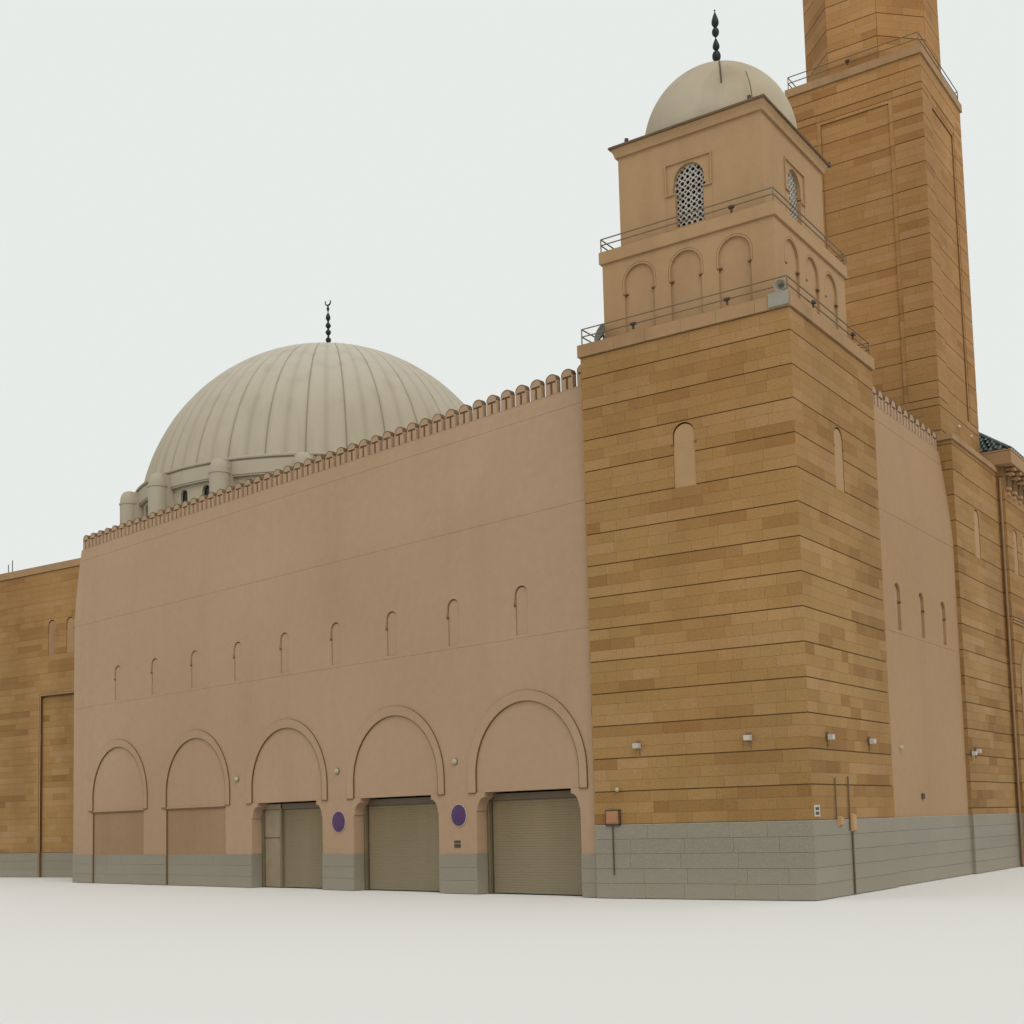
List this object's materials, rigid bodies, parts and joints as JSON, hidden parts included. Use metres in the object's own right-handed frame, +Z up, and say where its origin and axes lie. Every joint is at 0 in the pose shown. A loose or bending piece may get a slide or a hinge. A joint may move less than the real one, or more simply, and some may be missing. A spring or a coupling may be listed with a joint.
{
  "type": "1:10 scale model of a mosque building",
  "caption": "Mosque, 1:10 model: stepped corner tower, splayed plaster wall with arched doors and merlons, stone minaret, tiled side portal and a great ribbed dome.",
  "frame": {"origin": "middle of the footprint's box, on the ground under the building", "axes": "+X to the right along the front, +Y back into the building, +Z up"},
  "size_m": [6.6638, 4.9092, 5.976],
  "materials": {
    "sandstone": "coursed ochre sandstone cladding, matte, varied blocks",
    "plaster": "pinkish beige render, matte",
    "pale_stone": "pale greenish beige cement panels, weathered",
    "shutter_metal": "olive grey roller shutter, satin",
    "rail_metal": "galvanised pipe",
    "finial_metal": "dark patinated metal",
    "green_tile": "dark green glazed roof tiles",
    "lattice": "white pierced lattice, matte",
    "concrete": "plain concrete slab"
  },
  "bodies": {
    "root": {"tower_stone_stage": "sandstone", "tower_lower_ledge": "sandstone", "tower_lower_railing": "rail_metal", "tower_arch_stage": "plaster", "tower_upper_ledge": "plaster", "tower_upper_railing": "rail_metal", "tower_window_stage": "plaster", "tower_lattice_front": "lattice", "tower_lattice_right": "lattice", "tower_lattice_rear": "lattice", "tower_lattice_left": "lattice", "tower_cornice": "plaster", "tower_dome": "pale_stone", "tower_finial": "finial_metal", "front_plaster_wall": "plaster", "front_merlons": "plaster", "roller_shutter_1": "shutter_metal", "roller_shutter_2": "shutter_metal", "roller_shutter_3": "shutter_metal", "side_plaster_wall": "plaster", "side_merlons": "plaster", "minaret_block": "sandstone", "minaret_block_ledge": "sandstone", "minaret_shaft": "sandstone", "minaret_gallery": "sandstone", "minaret_railing": "rail_metal", "minaret_octagon": "sandstone", "minaret_balcony": "sandstone", "minaret_lantern": "plaster", "minaret_cornice": "plaster", "minaret_dome": "pale_stone", "minaret_finial": "finial_metal", "portal_wall": "sandstone", "portal_eave": "sandstone", "portal_tiled_roof": "green_tile", "portal_upstand": "plaster", "return_wall": "sandstone", "entrance_wall": "sandstone", "west_wall": "sandstone", "rear_wall": "sandstone", "far_side_wall": "sandstone", "hall_ledge": "sandstone", "hall_floor": "concrete", "hall_roof": "concrete", "dome_drum": "pale_stone", "dome_cornice": "pale_stone", "great_dome": "pale_stone", "great_dome_finial": "finial_metal"}
  },
  "joints": []
}
